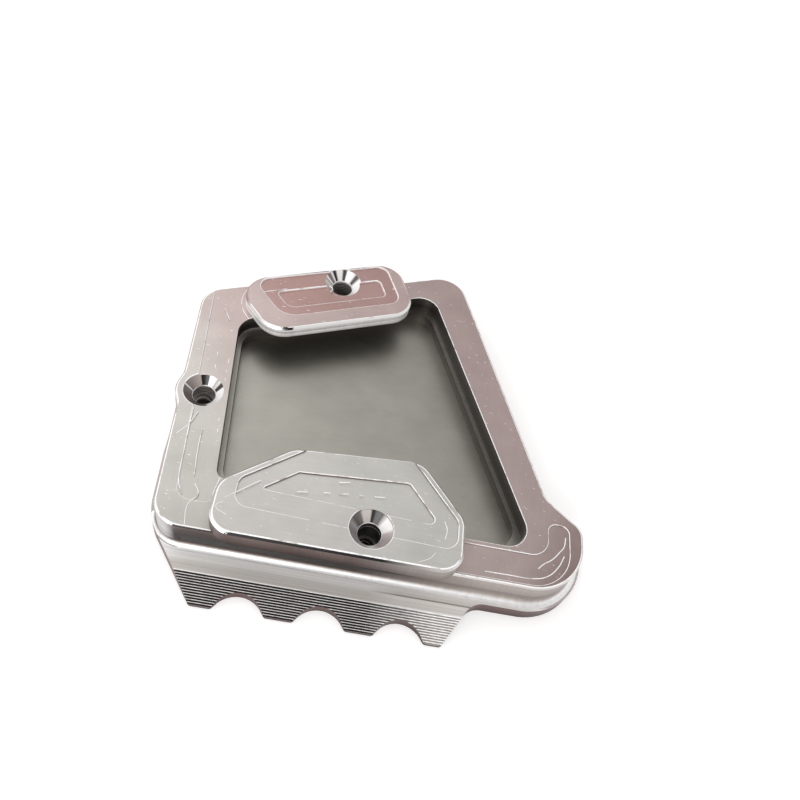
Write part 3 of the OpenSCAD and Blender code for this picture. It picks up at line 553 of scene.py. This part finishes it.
# each height is that of the face, less as much as leaves only the burr's back standing out
cutter_marks("left_arm_marks", RIM_Z - 0.06, 0.22, (
    ((-49.1, -14), (-48.2, -25), (-47, -34.5), (-45.7, -37)),
    ((-51, -22), (-49, -19), (-47.7, -15)),
    ((-45.6, -19.5), (-45.2, -25), (-44.2, -32)),
    ((-43.5, -34), (-42.2, -36.5), (-43.7, -39), (-43.2, -44.3)),
    ((-49.2, 18.5), (-47.2, 15)),
))
cutter_marks("left_arm_dots", RIM_Z - ARM_RECESS - 0.02, 0.2, (
    ((-44.4, 2.5), (-44.3, 1)), ((-44.2, -1), (-44.1, -1.8)), ((-43.9, -3.5), (-43.8, -4.5)),
    ((-42.6, -15.5), (-42.5, -16.5)), ((-42.2, -18.5), (-42, -19.5)),
    ((-48.2, 9.5), (-48, 8.5)), ((-47.6, 4), (-47.5, 3)), ((-47.2, 0), (-47.1, -1)),
))
# the lobe's lines are painted highlights, standing for the glints along the shallow terraces of the lobe
cutter_marks("lobe_painted_glints", RIM_Z - ARM_RECESS - 0.02, 0.26, (
    ((36.6, -39.6), (38.2, -38), (39.7, -37), (42, -34.4), (43, -33), (43.5, -30.5)),
    ((24, -42.5), (30, -42.4), (35, -42.3), (38.5, -41.3), (41.4, -38.5), (43, -35.4)),
    ((37.7, -23.5), (38.7, -25.7)),
    ((39, -27.5), (39.7, -26.9), (40.3, -27.4)),
))
cutter_marks("far_clamp_marks", FAR_Z - CLAMP_STEP - 0.04, 0.24, (
    ((-41, 24.3), (-38, 25.8), (-34.6, 27.4)),
    ((-23.6, 31.8), (-22.6, 30.9), (-23, 29.6)),
    ((-5.6, 38.6), (-4.6, 37.6), (-4.9, 36.2), (-6.3, 35.6)),
))
cutter_marks("near_clamp_marks", NEAR_Z - 0.075, 0.18, (
    ((-35.8, -38.5), (-29.1, -32.8)),
    ((-36, -39.6), (-37.2, -40.8), (-34.5, -42.6)),
    ((7.8, -45.6), (10.5, -44), (11.4, -42.6)),
))
cutter_marks("near_recess_dots", NEAR_Z - CLAMP_STEP - 0.03, 0.2, (
    ((-21, -33.8), (-18.5, -33.4)), ((-15, -32.8), (-13.5, -32.6)), ((-11.5, -32.4), (-9.5, -32)),
    ((-7, -31.9), (-6, -31.7)), ((-3.5, -31.5), (-1, -31.2)), ((-12, -29.5), (-9.5, -29)),
    ((13, -34.5), (13.7, -36.4), (13.4, -38.8)),
))


# Matt white card: it keeps the object's shadow, and is lifted to plain white for the camera and in
# reflections.
def white_card(name):
    mat = bpy.data.materials.new(name)
    mat.use_nodes = True
    tree = mat.node_tree
    shader = tree.nodes["Principled BSDF"]
    shader.inputs["Base Color"].default_value = linear("#F2F2F2")
    shader.inputs["Roughness"].default_value = 0.9
    path = add(tree, "ShaderNodeLightPath")
    seen = path.outputs["Is Camera Ray"]
    for ray in ("Is Glossy Ray", "Is Transmission Ray"):
        either = add(tree, "ShaderNodeMath", links={0: seen, 1: path.outputs[ray]}, operation="MAXIMUM")
        seen = either.outputs[0]
    lift = add(tree, "ShaderNodeMath", {1: 0.34}, {0: seen}, operation="MULTIPLY")
    glow = add(tree, "ShaderNodeEmission", links={"Strength": lift.outputs[0]})
    both = add(tree, "ShaderNodeAddShader", links={0: shader.outputs[0], 1: glow.outputs[0]})
    tree.links.new(both.outputs[0], tree.nodes["Material Output"].inputs["Surface"])
    return mat


bm = bmesh.new()
bmesh.ops.create_grid(bm, x_segments=1, y_segments=1, size=2.0)
floor_mesh = bpy.data.meshes.new("table")
bm.to_mesh(floor_mesh)
bm.free()
floor = bpy.data.objects.new("table", floor_mesh)
floor_mesh.materials.append(white_card("matt_white_table"))
bpy.context.scene.collection.objects.link(floor)

# an even dome that is a little darker round the camera
world = bpy.data.worlds.new("dome")
bpy.context.scene.world = world
world.use_nodes = True
sky = world.node_tree
way = add(sky, "ShaderNodeTexCoord").outputs["Generated"]
front = add(sky, "ShaderNodeVectorMath", {1: (0.0, -0.72, 0.69)}, {0: way}, operation="DOT_PRODUCT")
dome = add(sky, "ShaderNodeValToRGB", links={"Fac": front.outputs["Value"]}, stops=[
    (0.0, "#F6F6F6"), (0.5, "#EDEDED"), (0.8, "#C9C6C4"), (1.0, "#B0ACAA")])
sky.links.new(dome.outputs["Color"], sky.nodes["Background"].inputs["Color"])
sky.nodes["Background"].inputs["Strength"].default_value = 0.9


def lamp(name, place, size, power):
    """A square soft lamp aimed at the part."""
    data = bpy.data.lights.new(name, "AREA")
    data.shape = "SQUARE"
    data.size = size
    data.energy = power
    obj = bpy.data.objects.new(name, data)
    obj.location = place
    obj.rotation_euler = (-Vector(place)).to_track_quat("-Z", "Y").to_euler()
    bpy.context.scene.collection.objects.link(obj)


lamp("back_left_lamp", (-0.45, 0.45, 0.55), 0.6, 1.2)
lamp("front_lamp", (-0.30, -0.75, 0.45), 0.5, 4.3)

# the camera stands at CAMERA_AT in the plan, in millimetres, and is turned by these degrees: down from level,
# right from straight at the toothed edge, and anticlockwise about its own axis
CAMERA_AT = Vector((-18.58, -116.19, 167.10))
DOWN, RIGHT, ROLLED = (math.radians(a) for a in (52.778, 9.081, 18.449))
eye = bpy.data.cameras.new("camera")
eye.lens = 34.2
eye.sensor_width = 36.0
eye.clip_start = 0.005
camera = bpy.data.objects.new("camera", eye)
bpy.context.scene.collection.objects.link(camera)
tilt = Matrix.Rotation(math.pi / 2 - DOWN, 4, "X") @ Matrix.Rotation(ROLLED, 4, "Z")
camera.matrix_world = Matrix.Translation((CAMERA_AT - MIDDLE) * MM) @ Matrix.Rotation(-RIGHT, 4, "Z") @ tilt
bpy.context.scene.camera = camera

bpy.context.scene.view_settings.view_transform = "Standard"
